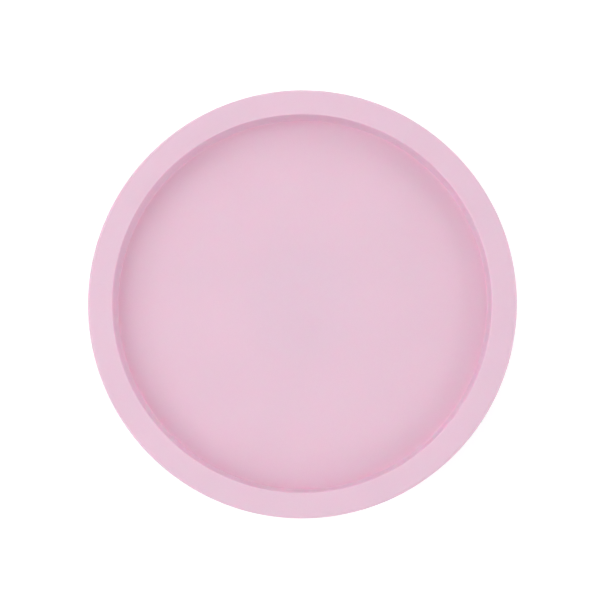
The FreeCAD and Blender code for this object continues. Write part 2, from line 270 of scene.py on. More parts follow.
def pin(radius: float, low: float, high: float, rounding: float = 0.0) -> Skin:
    """Makes a round pin on the axis, whose lower edge may be rounded."""
    outline = [Corner(0, low), Corner(radius, low, rounding), Corner(radius, high), Corner(0, high)]
    return turned(outline, SMALL_TURN_STEPS)


def placed_on_circle(
    pattern: Skin, count: int, radius: float = 0.0, half_step: bool = False, turn: bool = False
) -> Skin:
    """Repeats a skin at places evenly spaced about the axis.

    Args:
        pattern: The skin to repeat. It is freed.
        count: Number of places.
        radius: Their distance from the axis.
        half_step: Whether the first place stands half a step from the X axis instead of on it.
        turn: Whether each copy is turned to point away from the axis.

    Returns:
        All the copies in one mesh.
    """
    single = as_mesh("pattern", pattern)
    bm = bmesh.new()
    for i in range(count):
        angle = FULL_TURN * (i + half_step / 2) / count
        spot = Matrix.Translation((radius * math.cos(angle), radius * math.sin(angle), 0))
        if turn:
            spot = spot @ Matrix.Rotation(angle, 4, "Z")
        start = len(bm.verts)
        bm.from_mesh(single)
        bm.verts.ensure_lookup_table()
        bmesh.ops.transform(bm, matrix=spot, verts=bm.verts[start:])
    bpy.data.meshes.remove(single)
    return bm


def combined(base: Skin, operation: Operation, tool: Skin) -> Skin:
    """Joins, cuts or trims one closed skin with others.

    Args:
        base: The skin to change. It is freed.
        operation: What is done to it.
        tool: One or more closed skins that don't overlap each other. It is freed.

    Returns:
        The resulting skin.
    """
    helpers = [added("helper", as_mesh("helper", skin)) for skin in (base, tool)]
    modifier = helpers[0].modifiers.new("combine", "BOOLEAN")
    modifier.operation = operation.value
    modifier.solver = "MANIFOLD"
    modifier.object = helpers[1]
    evaluated = helpers[0].evaluated_get(bpy.context.evaluated_depsgraph_get())
    result = bmesh.new()
    result.from_mesh(evaluated.to_mesh())
    evaluated.to_mesh_clear()
    for helper in helpers:
        bpy.data.meshes.remove(helper.data)
    return result


def finished(name: str, skin: Skin, material: Material, body: str, node: str) -> Object:
    """Makes a visible piece of a skin: smooths its curved faces, dresses it and puts it on its body.

    Args:
        name: The piece's name.
        skin: Its skin, which is freed.
        material: Its finish.
        body: The body that it rides on.
        node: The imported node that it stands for.

    Returns:
        The piece.
    """
    bmesh.ops.remove_doubles(skin, verts=skin.verts[:], dist=WELD)
    mesh = as_mesh(name, skin)
    mesh.materials.append(material)
    mesh.shade_smooth()
    mesh.set_sharp_from_angle(angle=SHARP_ANGLE)
    piece = added(name, mesh)
    weighted = piece.modifiers.new("weighted_normals", "WEIGHTED_NORMAL")
    weighted.mode = "FACE_AREA"
    weighted.keep_sharp = True
    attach(piece, body)
    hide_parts(node)
    LOG.info("%s: %d faces, stands for %s", name, len(mesh.polygons), node)
    return piece


def dress(node: str, material: Material) -> None:
    """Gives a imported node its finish.

    Args:
        node: The node's name.
        material: Its finish.
    """
    for material_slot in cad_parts[node].material_slots:
        material_slot.material = material
    LOG.info("%s: dressed in %s", node, material.name)


# ---- Finishes ----


class Graph:
    """The nodes of one material, built around a Principled shader and read in object coordinates."""

    def __init__(self, name: str) -> None:
        """Starts a material with an empty Principled shader.

        Args:
            name: The material's name.
        """
        self.material = bpy.data.materials.new(name)
        self.material.use_nodes = True
        self.nodes = self.material.node_tree.nodes
        self.nodes.clear()
        self.output = self.nodes.new("ShaderNodeOutputMaterial")
        self.shader = self.nodes.new("ShaderNodeBsdfPrincipled")
        self.link(self.shader.outputs["BSDF"], self.output.inputs["Surface"])
        self.place = self.nodes.new("ShaderNodeTexCoord").outputs["Object"]

    def link(self, source: Socket, target: Socket) -> None:
        """Joins two sockets."""
        self.material.node_tree.links.new(source, target)

    def noise(self, size: float, detail: float, stretch: Sequence[float] | None = None) -> Socket:
        """Adds a noise whose blotches are about as large as a given size.

        Args:
            size: The size of a blotch.
            detail: Octaves of finer detail.
            stretch: How many times longer the blotches are along each axis.

        Returns:
            The noise's value, around 0.5.
        """
        texture = self.nodes.new("ShaderNodeTexNoise")
        texture.inputs["Scale"].default_value = 1 / size
        texture.inputs["Detail"].default_value = detail
        source = self.place
        if stretch is not None:
            mapping = self.nodes.new("ShaderNodeMapping")
            mapping.inputs["Scale"].default_value = [1 / s for s in stretch]
            self.link(self.place, mapping.inputs["Vector"])
            source = mapping.outputs["Vector"]
        self.link(source, texture.inputs["Vector"])
        return texture.outputs["Fac"]

    def rings(self, pitch: float, wander: float) -> Socket:
        """Adds tool marks in rings about the spin axis.

        Args:
            pitch: The distance from one mark to the next.
            wander: How unevenly the marks run.

        Returns:
            The marks' height, from 0 to 1.
        """
        texture = self.nodes.new("ShaderNodeTexWave")
        texture.wave_type = "RINGS"
        texture.rings_direction = "Z"
        texture.inputs["Scale"].default_value = FULL_TURN / WAVE_RATE / pitch
        texture.inputs["Distortion"].default_value = wander
        texture.inputs["Detail"].default_value = 1.0
        self.link(self.place, texture.inputs["Vector"])
        return texture.outputs["Fac"]

    def spread(self, noise: Socket, low: float, high: float) -> Socket:
        """Maps the middle range of a noise, where most of its values lie, to a new range.

        Args:
            noise: The noise.
            low: What the lower end of the middle range and all below it become.
            high: What the upper end and all above it become.

        Returns:
            The mapped value.
        """
        ramp = self.nodes.new("ShaderNodeMapRange")
        ramp.inputs["From Min"].default_value = NOISE_LOW
        ramp.inputs["From Max"].default_value = NOISE_HIGH
        ramp.inputs["To Min"].default_value = low
        ramp.inputs["To Max"].default_value = high
        self.link(noise, ramp.inputs["Value"])
        return ramp.outputs["Result"]

    def mix(self, noise: Socket, first: Colour, second: Colour, most: float = 1.0) -> Socket:
        """Mixes two colours by a noise.

        Args:
            noise: The noise.
            first: Linear RGB of the first colour.
            second: Linear RGB of the second colour.
            most: The largest share of the second colour.

        Returns:
            The mixed colour.
        """
        mixer = self.nodes.new("ShaderNodeMix")
        mixer.data_type = "RGBA"
        mixer.inputs[MIX_FIRST].default_value = (*first, 1)
        mixer.inputs[MIX_SECOND].default_value = (*second, 1)
        self.link(self.spread(noise, 0, most), mixer.inputs["Factor"])
        return mixer.outputs[MIX_RESULT]

    def speckled(self, noise: Socket, colour: Socket, amount: float) -> Socket:
        """Darkens a colour in specks.

        Args:
            noise: Where the specks are.
            colour: The colour between them.
            amount: How much darker a speck is, from 0 to 1.

        Returns:
            The speckled colour.
        """
        mixer = self.nodes.new("ShaderNodeMix")
        mixer.data_type = "RGBA"
        mixer.blend_type = "MULTIPLY"
        mixer.inputs[MIX_SECOND].default_value = (1 - amount, 1 - amount, 1 - amount, 1)
        self.link(colour, mixer.inputs[MIX_FIRST])
        self.link(self.spread(noise, 0, 1), mixer.inputs["Factor"])
        return mixer.outputs[MIX_RESULT]

    def paint(self, colour: Socket) -> None:
        """Makes a colour the surface's own."""
        self.link(colour, self.shader.inputs["Base Color"])

    def roughen(self, noise: Socket, low: float, high: float) -> None:
        """Lets the surface's roughness run from low to high with a noise."""
        self.link(self.spread(noise, low, high), self.shader.inputs["Roughness"])

    def emboss(self, height: Socket, depth: float) -> None:
        """Adds a fine relief to the surface, above any relief that it has.

        Args:
            height: The relief, from 0 to 1.
            depth: How deep it is.
        """
        bump = self.nodes.new("ShaderNodeBump")
        bump.inputs["Distance"].default_value = depth
        self.link(height, bump.inputs["Height"])
        earlier = self.shader.inputs["Normal"].links
        if earlier:
            self.link(earlier[0].from_socket, bump.inputs["Normal"])
        self.link(bump.outputs["Normal"], self.shader.inputs["Normal"])

    def set(self, **values: float | Sequence[float]) -> None:
        """Sets the shader's own sockets, with underscores for the spaces in their names."""
        for name, value in values.items():
            self.shader.inputs[name.replace("_", " ")].default_value = value


def tinted(colour: Colour, factor: float) -> Colour:
    """Returns a colour made lighter or darker by a factor."""
    red, green, blue = (min(1.0, c * factor) for c in colour)
    return red, green, blue


class Grain(Enum):
    """The texture that a mould leaves on plastic, as (size of a grain, depth of the relief)."""

    FINE = (0.22 * MM, 0.006 * MM)
    COARSE = (0.6 * MM, 0.03 * MM)


@dataclass(frozen=True)
class MouldedPlastic:
    """Matte plastic, coloured through and faintly translucent, with the mould's texture and flow clouds."""

    name: str
    colour: Colour
    grain: Grain = Grain.FINE
    roughness: float = 0.45
    roughness_drift: float = 0.05
    drift_size: float = 9 * MM
    clouding: float = 0.012
    cloud_size: float = 55 * MM
    speckle: float = 0.02
    speck_grains: int = 3
    waviness: float = 0.02 * MM
    wave_size: float = 28 * MM
    glow_depth: tuple[float, float, float] = (4.4 * MM, 0.5 * MM, 1.4 * MM)

    def material(self) -> Material:
        """Builds the material.

        Returns:
            The material, named as the finish is.
        """
        graph = Graph(self.name)
        size, depth = self.grain.value
        graph.shader.subsurface_method = "BURLEY"
        graph.set(Subsurface_Weight=1.0, Subsurface_Scale=1.0, Subsurface_Radius=self.glow_depth)
        darker = tinted(self.colour, 1 - self.clouding)
        lighter = tinted(self.colour, 1 + self.clouding)
        clouded = graph.mix(graph.noise(self.cloud_size, 3), darker, lighter)
        graph.paint(graph.speckled(graph.noise(self.speck_grains * size, 1), clouded, self.speckle))
        low = self.roughness - self.roughness_drift
        graph.roughen(graph.noise(self.drift_size, 4), low, self.roughness + self.roughness_drift)
        graph.emboss(graph.noise(self.wave_size, 0), self.waviness)
        graph.emboss(graph.noise(size, 1), depth)
        return graph.material


@dataclass(frozen=True)
class TurnedMetal:
    """Metal with fine concentric tool marks and faint handling stains."""

    name: str
    colour: Colour
    stain_size: float = 14 * MM
    stain_range: tuple[float, float] = (0.93, 1.03)
    roughness: tuple[float, float] = (0.25, 0.39)
    smear_size: float = 4 * MM
    pitch: float = 0.25 * MM
    wander: float = 1.5
    mark_depth: float = 0.004 * MM
    brushing: float = 0.4

    def material(self) -> Material:
        """Builds the material.

        Returns:
            The material, named as the finish is.
        """
        graph = Graph(self.name)
        darker, lighter = (tinted(self.colour, factor) for factor in self.stain_range)
        graph.paint(graph.mix(graph.noise(self.stain_size, 5), darker, lighter))
        graph.roughen(graph.noise(self.smear_size, 4), *self.roughness)
        graph.emboss(graph.rings(self.pitch, self.wander), self.mark_depth)
        graph.set(Metallic=1.0, Anisotropic=self.brushing)
        return graph.material


@dataclass(frozen=True)
class GroundSteel:
    """Ground or polished steel with fine scratches along one direction."""

    name: str
    colour: Colour
    roughness: float = 0.2
    roughness_range: tuple[float, float] = (0.7, 1.3)
    tarnish_size: float = 5 * MM
    tarnish_range: tuple[float, float] = (0.95, 1.02)
    scratch_width: float = 0.06 * MM
    scratch_depth: float = 0.001 * MM
    scratch_run: tuple[float, float, float] = (25, 25, 1)

    def material(self) -> Material:
        """Builds the material.

        Returns:
            The material, named as the finish is.
        """
        graph = Graph(self.name)
        darker, lighter = (tinted(self.colour, factor) for factor in self.tarnish_range)
        graph.paint(graph.mix(graph.noise(self.tarnish_size, 4), darker, lighter))
        scratches = graph.noise(self.scratch_width, 2, self.scratch_run)
        graph.roughen(scratches, *(self.roughness * factor for factor in self.roughness_range))
        graph.emboss(scratches, self.scratch_depth)
        graph.set(Metallic=1.0)
        return graph.material


@dataclass(frozen=True)
class CoatedSteel:
    """Zinc plate or phosphate on steel: a fine crystalline coat with a slight colour drift."""

    name: str
    colour: Colour
    drift: Colour
    drift_size: float = 1.6 * MM
    roughness: float = 0.36
    smoother: float = 0.08
    rougher: float = 0.1
    patch_size: float = 0.8 * MM
    metallic: float = 1.0
    crystal_size: float = 0.12 * MM
    crystal_depth: float = 0.004 * MM

    def material(self) -> Material:
        """Builds the material.

        Returns:
            The material, named as the finish is.
        """
        graph = Graph(self.name)
        graph.paint(graph.mix(graph.noise(self.drift_size, 4), self.colour, self.drift))
        patches = graph.noise(self.patch_size, 3)
        graph.roughen(patches, self.roughness - self.smoother, self.roughness + self.rougher)
        graph.emboss(graph.noise(self.crystal_size, 2), self.crystal_depth)
        graph.set(Metallic=self.metallic)
        return graph.material


@dataclass(frozen=True)
class Rubber:
    """Soft rubber, dull, with a fine skin, dust in its pores and slightly polished high spots."""

    name: str
    colour: Colour
    dust: Colour = (0.62, 0.60, 0.58)
    dust_share: float = 0.35
    dust_size: float = 1.2 * MM
    roughness: tuple[float, float] = (0.68, 0.88)
    polish_size: float = 3 * MM
    pore_size: float = 0.25 * MM
    pore_depth: float = 0.02 * MM
    gloss: float = 0.35

    def material(self) -> Material:
        """Builds the material.

        Returns:
            The material, named as the finish is.
        """
        graph = Graph(self.name)
        graph.paint(graph.mix(graph.noise(self.dust_size, 6), self.colour, self.dust, self.dust_share))
        graph.roughen(graph.noise(self.polish_size, 3), *self.roughness)
        graph.emboss(graph.noise(self.pore_size, 2), self.pore_depth)
        graph.set(Specular_IOR_Level=self.gloss)
        return graph.material


@dataclass(frozen=True)
class Finishes:
    """Every finish of the turntable, built once."""

    pink: Colour = (0.753, 0.527, 0.649)

    def build(self) -> Palette:
        """Builds every material.

        Returns:
            The materials by name.
        """
        recipes = [
            MouldedPlastic("pink_plastic", self.pink),
            MouldedPlastic("pink_plastic_coarse", tinted(self.pink, 0.97), Grain.COARSE, roughness=0.56),
            TurnedMetal("turned_aluminium", (0.83, 0.84, 0.85)),
            GroundSteel("ground_steel", (0.60, 0.60, 0.61)),
            GroundSteel("bearing_steel", (0.70, 0.70, 0.71), roughness=0.14),
            GroundSteel("ball_steel", (0.78, 0.78, 0.79), roughness=0.05, scratch_depth=0.0002 * MM),
            CoatedSteel("pressed_sheet", (0.55, 0.55, 0.56), (0.62, 0.61, 0.58), roughness=0.3),
            CoatedSteel("zinc_plate", (0.66, 0.68, 0.72), (0.72, 0.70, 0.62)),
            CoatedSteel(
                "dark_phosphate", (0.06, 0.06, 0.065), (0.11, 0.105, 0.10), roughness=0.55, metallic=0.6
            ),
            MouldedPlastic("cage_nylon", (0.74, 0.69, 0.56), roughness=0.4, cloud_size=4 * MM),
            Rubber("foot_rubber", (0.50, 0.49, 0.49)),
        ]
        return {recipe.name: recipe.material() for recipe in recipes}


# ---- The turntable's sub-assemblies ----


@dataclass(frozen=True)
class ScrewSet:
    """Countersunk screws evenly spaced on a circle about the axis."""

    node: str
    count: int
    circle: float
    half_step: bool
    radius: float = 1.9 * MM
    head_radius: float = 3.9 * MM
    head_rim: float = 0.25 * MM
    countersink_play: float = 0.12 * MM

    def around(self, pattern: Skin) -> Skin:
        """Repeats a skin at every screw's place. The skin is freed."""
        return placed_on_circle(pattern, self.count, self.circle, self.half_step)

    def bores(self) -> Skin:
        """Makes the shapes that the screws' shanks fill."""
        low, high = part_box(self.node)
        return self.around(pin(self.radius, low.z, high.z))

    def countersinks(self, top: float) -> Skin:
        """Makes the shapes to cut for the heads of screws that point up.

        Args:
            top: The height of the surface that the screws come out of.

        Returns:
            The shapes, which start below the heads.
        """
        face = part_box(self.node)[0].z
        mouth = self.head_radius + self.countersink_play
        seat = face + self.head_rim
        hole = turned(
            [
                Corner(0, face - JOIN_DEPTH),
                Corner(mouth, face - JOIN_DEPTH),
                Corner(mouth, seat),
                Corner(self.radius, seat + self.head_radius - self.radius),
                Corner(self.radius, top + JOIN_DEPTH),
                Corner(0, top + JOIN_DEPTH),
            ],
            SMALL_TURN_STEPS,
        )
        return self.around(hole)


HUB_SCREWS = ScrewSet("hub_screws", 6, 27.0 * MM, half_step=False)
HOUSING_SCREWS = ScrewSet("housing_screws", 4, 26.5 * MM, half_step=True)
COVER_SCREWS = ScrewSet("cover_screws", 6, 74.0 * MM, half_step=True)


@dataclass
class DishedPlate:
    """The spinning plate: one moulding with a flat rim, a recess, a skirt and ribs underneath."""

    finishes: Palette
    rim_width: float = 17.8 * MM
    recess_depth: float = 16.3 * MM
    wall: float = 3.0 * MM
    recess_draft: float = math.radians(2)
    skirt_draft: float = math.radians(1)
    rim_outer_round: float = 2.2 * MM
    rim_inner_round: float = 0.9 * MM
    foot_round: float = 0.5 * MM
    edge_round: float = 0.9 * MM
    rib_thickness: float = 2.0 * MM
    rib_height: float = 5.0 * MM
    rib_step: float = 0.15 * MM
    rib_count: int = 12
    gusset_count: int = 24
    gusset_depth: float = 13.0 * MM
    fillet: float = 0.5 * MM
    hub_fit: float = 0.3 * MM
    hub_ring_height: float = 6.0 * MM
    post_radius: float = 4.8 * MM
    mark_radius: float = 2.5 * MM
    mark_proud: float = 0.15 * MM
    body: str = "plate"
    node: str = "top_plate"

    def __post_init__(self) -> None:
        """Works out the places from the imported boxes."""
        low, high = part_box(self.node)
        self.radius = high.x
        self.rim = high.z
        self.skirt_bottom = low.z
        self.floor = self.rim - self.recess_depth
        self.underside = self.floor - self.wall
        self.recess_radius = self.radius - self.rim_width
        self.foot_radius = self.recess_radius - self.recess_depth * math.tan(self.recess_draft)
        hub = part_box("plate_hub")[1]
        self.hub_top = hub.z
        self.hub_ring = hub.x + self.hub_fit + self.rib_thickness / 2
        self.mid_ring = (self.hub_ring + self.rib_thickness / 2 + self.foot_radius + self.rib_thickness) / 2

    def skin(self) -> Skin:
        """Makes the plate's wall: rim, recess and skirt.

        Returns:
            The wall's skin.
        """
        skirt_radius = self.radius - (self.rim - self.skirt_bottom) * math.tan(self.skirt_draft)
        return turned(
            [
                Corner(0, self.floor),
                Corner(self.foot_radius, self.floor, self.foot_round),
                Corner(self.recess_radius, self.rim, self.rim_inner_round),
                Corner(self.radius, self.rim, self.rim_outer_round),
                Corner(skirt_radius, self.skirt_bottom, self.edge_round),
                Corner(skirt_radius - self.wall, self.skirt_bottom, self.edge_round),
                Corner(self.radius - self.wall, self.rim - self.wall, self.edge_round),
                Corner(self.recess_radius + self.wall, self.rim - self.wall, self.edge_round),
                Corner(self.foot_radius + self.wall, self.underside, self.edge_round),
                Corner(0, self.underside),
            ]
        )

    def ring_rib(self, middle: float, height: float) -> Skin:
        """Makes a round rib under the floor, from its middle radius and its height."""
        return turned(rib(middle, self.underside, self.underside - height, self.rib_thickness, self.fillet))

    def spokes(self, count: int, inner: float, outer: float, root: float, tip: float) -> Skin:
        """Makes ribs that run out from inner to outer and hang from root to tip, none on the X axis."""
        bar = extruded(rib(0, root, tip, self.rib_thickness, self.fillet), inner, outer)
        return placed_on_circle(bar, count, half_step=True, turn=True)

    def posts(self) -> Skin:
        """Makes the round posts that the hub is screwed to, with their bores.

        Returns:
            The posts' skins.
        """
        root = self.post_radius + ROOT_SPREAD * self.fillet
        post = turned(
            [
                Corner(HUB_SCREWS.radius, self.hub_top),
                Corner(self.post_radius, self.hub_top),
                Corner(self.post_radius, self.underside + FILLET_SINK, self.fillet),
                Corner(root, self.underside + FILLET_SINK),
                Corner(root, self.underside + JOIN_DEPTH),
                Corner(HUB_SCREWS.radius, self.underside + JOIN_DEPTH),
            ],
            SMALL_TURN_STEPS,
        )
        return HUB_SCREWS.around(post)

    def ejector_marks(self, circle: float) -> Skin:
        """Makes the low round marks that the mould's pins leave between the ribs.

        Args:
            circle: The radius of the circle that they lie on.

        Returns:
            The marks' skins.
        """
        low = self.underside - self.mark_proud
        mark = pin(self.mark_radius, low, self.underside + JOIN_DEPTH, self.mark_proud / 2)
        return placed_on_circle(mark, self.rib_count, circle)

    def build(self) -> None:
        """Builds the plate and dresses the hub and its screws."""
        plate = self.skin()
        rib_tip = self.underside - self.rib_height
        rim_underside = self.rim - self.wall
        for tool in (
            self.ring_rib(self.hub_ring, self.hub_ring_height),
            self.ring_rib(self.mid_ring, self.rib_height),
            self.spokes(
                self.rib_count, self.hub_ring, self.foot_radius, self.underside, rib_tip + self.rib_step
            ),
            self.spokes(
                self.gusset_count,
                self.foot_radius + self.wall - JOIN_DEPTH,
                self.radius - self.wall / 2,
                rim_underside,
                rim_underside - self.gusset_depth,
            ),
            self.posts(),
            self.ejector_marks((self.hub_ring + self.mid_ring) / 2),
            self.ejector_marks((self.mid_ring + self.foot_radius) / 2),
        ):
            plate = combined(plate, Operation.JOIN, tool)
        finished("dished_plate", plate, self.finishes["pink_plastic"], self.body, self.node)
        dress("plate_hub", self.finishes["turned_aluminium"])
        dress(HUB_SCREWS.node, self.finishes["zinc_plate"])


@dataclass
class Spindle:
    """The spindle and the small pieces that are stacked on it."""

    finishes: Palette

    def build(self) -> None:
        """Dresses the spindle, its spacer, its washer and its circlip."""
        for node in ("spindle", "bearing_spacer", "shim_washer"):
            dress(node, self.finishes["ground_steel"])
        dress("circlip", self.finishes["dark_phosphate"])


class Place(Enum):
    """Where a bearing sits in the housing."""

    UPPER = "upper"
    LOWER = "lower"


@dataclass
class Bearing:
    """A ball bearing: rings, balls, cage and shields."""

    finishes: Palette
    place: Place

    def build(self) -> None:
        """Dresses the bearing's five nodes."""
        dressing = {
            "inner_ring": "bearing_steel",
            "outer_ring": "bearing_steel",
            "balls": "ball_steel",
            "cage": "cage_nylon",
            "shields": "pressed_sheet",
        }
        for part, finish in dressing.items():
            dress(f"{self.place.value}_bearing_{part}", self.finishes[finish])


@dataclass
class Pedestal:
    """The flared pedestal and the bearing housing on its deck."""

    finishes: Palette
    wall: float = 3.0 * MM
    deck: float = 4.0 * MM
    deck_margin: float = 13.0 * MM
    deck_round: float = 5.0 * MM
    slope: float = math.radians(15)
    lip: float = 7.0 * MM
    foot_round: float = 2.5 * MM
    edge_round: float = 0.4 * MM
    neck_straight: float = 3.0 * MM
    housing_hole: float = 19.1 * MM
    tower_wall: float = 3.5 * MM
    tower_depth: float = 14.0 * MM
    web_thickness: float = 2.5 * MM
    web_count: int = 6
    web_foot: float = 15.0 * MM
    fillet: float = 0.6 * MM
    boss_radius: float = 4.6 * MM
    housing_boss_depth: float = 12.0 * MM
    cover_thickness: float = 3.0 * MM
    body: str = "pedestal"
    node: str = "pedestal_shell"

    def __post_init__(self) -> None:
        """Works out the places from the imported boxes."""
        low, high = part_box(self.node)
        self.radius = high.x
        self.deck_top = high.z
        self.bottom = low.z
        self.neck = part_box("bearing_housing")[1].x + self.deck_margin
        self.deck_underside = self.deck_top - self.deck

    def flare(self, inset: float, rim: float = 0.0) -> list[Corner]:
        """Outlines the flare from its foot up to the neck.

        Args:
            inset: How far inside the outer surface the outline lies.
            rim: The rounding of the foot's lower edge.

        Returns:
            The corners, from the foot's lower edge up.
        """
        rise = math.tan(self.slope)
        lip_top = self.bottom + self.lip
        crossing = lip_top + (self.radius - self.neck) * rise
        flare_top = self.deck_top - self.deck_round - self.neck_straight
        flare_radius = (flare_top - crossing) / math.tan((math.pi / 2 - self.slope) / 2)
        drop = inset / math.cos(self.slope) - inset * rise
        return [
            Corner(self.radius - inset, self.bottom, rim),
            Corner(self.radius - inset, lip_top - drop, max(self.foot_round - inset, 0.0)),
            Corner(self.neck - inset, crossing - drop, flare_radius + inset),
        ]

    def skin(self) -> Skin:
        """Makes the shell's wall with its deck and the ring under the deck.

        Returns:
            The wall's skin.
        """
        tower = self.housing_hole + self.tower_wall
        tower_low = self.deck_underside - self.tower_depth
        return turned(
            [
                *self.flare(0.0, self.edge_round),
                Corner(self.neck, self.deck_top, self.deck_round),
                Corner(self.housing_hole, self.deck_top, self.edge_round),
                Corner(self.housing_hole, tower_low, self.edge_round),
                Corner(tower, tower_low, self.edge_round),
                Corner(tower, self.deck_underside, self.fillet),
                Corner(self.neck - self.wall, self.deck_underside, self.fillet),
                *reversed(self.flare(self.wall, self.edge_round)),
            ]
        )

    def filled(self) -> Skin:
        """Fills the pedestal in to half its wall, for the webs and bosses to be trimmed to.

        Returns:
            The filled shape.
        """
        inset = self.wall / 2
        top = self.deck_underside + 2 * JOIN_DEPTH
        return turned(
            [
                Corner(0, self.bottom),
                *self.flare(inset),
                Corner(self.neck - inset, top),
                Corner(0, top),
            ]
        )

    def webs(self) -> Skin:
        """Makes the upright webs between the tower ring and the shell.

        Returns:
            The webs' skins, which reach past the shell.
        """
        start = self.housing_hole + self.tower_wall / 2
        section = rib(0, self.deck_underside, self.bottom + self.web_foot, self.web_thickness, self.fillet)
        return placed_on_circle(extruded(section, start, self.radius), self.web_count, turn=True)

    def bosses(self, screws: ScrewSet, low: float) -> Skin:
        """Makes the bosses for a set of screws, from a height up into the deck."""
        return screws.around(pin(self.boss_radius, low, self.deck_underside + JOIN_DEPTH))

    def build(self) -> None:
        """Builds the shell and dresses the housing and its screws."""
        cover_bosses = self.bosses(COVER_SCREWS, self.bottom + self.cover_thickness)
        shell = self.skin()
        for tool in (
            combined(self.webs(), Operation.TRIM, self.filled()),
            self.bosses(HOUSING_SCREWS, self.deck_underside - self.housing_boss_depth),
            combined(cover_bosses, Operation.TRIM, self.filled()),
        ):
            shell = combined(shell, Operation.JOIN, tool)
        for screws in (HOUSING_SCREWS, COVER_SCREWS):
            shell = combined(shell, Operation.CUT, screws.bores())
        finish = self.finishes["pink_plastic"]
        finished("flared_pedestal", shell, finish, self.body, self.node)
        dress("bearing_housing", self.finishes["turned_aluminium"])
        dress(HOUSING_SCREWS.node, self.finishes["zinc_plate"])


@dataclass
class BottomCover:
    """The disc that closes the pedestal from below."""

    finishes: Palette
    thickness: float = 3.0 * MM
    edge_round: float = 0.6 * MM
    rib_circles: tuple[float, ...] = (24.13 * MM, 47.27 * MM)
    rib_thickness: float = 2.0 * MM
    gate_radius: float = 5.0 * MM
    gate_depth: float = 0.5 * MM
    gate_stub: float = 0.9 * MM
    groove_circle: float = 62.0 * MM
    groove_half: float = 1.6 * MM
    groove_depth: float = 0.5 * MM
    soft_edge: float = 0.25 * MM
    foot_circle: float = 80.0 * MM
    seat_radius: float = 7.2 * MM
    body: str = "pedestal"
    node: str = "bottom_cover"

    def __post_init__(self) -> None:
        """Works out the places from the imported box."""
        low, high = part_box(self.node)
        self.low = low.z
        self.rib_top = high.z
        self.radius = high.x
        self.top = self.low + self.thickness

    def disc(self) -> Skin:
        """Makes the disc with a hollow at its moulding gate and a groove around it.

        Returns:
            The disc's skin.
        """
        inner = self.groove_circle - self.groove_half
        outer = self.groove_circle + self.groove_half
        return turned(
            [
                Corner(0, self.low + self.gate_depth),
                Corner(self.gate_radius, self.low + self.gate_depth, self.soft_edge),
                Corner(self.gate_radius, self.low, self.soft_edge),
                Corner(inner, self.low, self.soft_edge),
                Corner(inner, self.low + self.groove_depth, self.soft_edge / 2),
                Corner(outer, self.low + self.groove_depth, self.soft_edge / 2),
                Corner(outer, self.low, self.soft_edge),
                Corner(self.radius, self.low, self.edge_round),
                Corner(self.radius, self.top, self.soft_edge),
                Corner(0, self.top),
            ]
        )

    def ring_rib(self, middle: float) -> Skin:
        """Makes a round rib on the disc's inner face.

        Args:
            middle: The rib's middle radius.

        Returns:
            The rib's skin.
        """
        half = self.rib_thickness / 2
        return turned(
            [
                Corner(middle - half, self.top - JOIN_DEPTH),
                Corner(middle + half, self.top - JOIN_DEPTH),
                Corner(middle + half, self.rib_top, RIB_ROUND),
                Corner(middle - half, self.rib_top, RIB_ROUND),
            ]
        )

    def build(self) -> None:
        """Builds the cover and dresses its screws."""
        cover = self.disc()
        stub = pin(self.gate_stub, self.low + self.gate_depth / 2, self.top - JOIN_DEPTH, self.soft_edge)
        for tool in (*map(self.ring_rib, self.rib_circles), stub):
            cover = combined(cover, Operation.JOIN, tool)
        seat = pin(self.seat_radius, self.low - JOIN_DEPTH, self.low + RubberFoot.seat_depth)
        stem = pin(RubberFoot.stem_radius, self.low - JOIN_DEPTH, self.top + JOIN_DEPTH)
        for tool in (
            placed_on_circle(seat, RubberFoot.count, self.foot_circle),
            placed_on_circle(stem, RubberFoot.count, self.foot_circle),
            COVER_SCREWS.countersinks(self.top),
        ):
            cover = combined(cover, Operation.CUT, tool)
        finish = self.finishes["pink_plastic_coarse"]
        finished("ribbed_cover", cover, finish, self.body, self.node)
        dress(COVER_SCREWS.node, self.finishes["zinc_plate"])


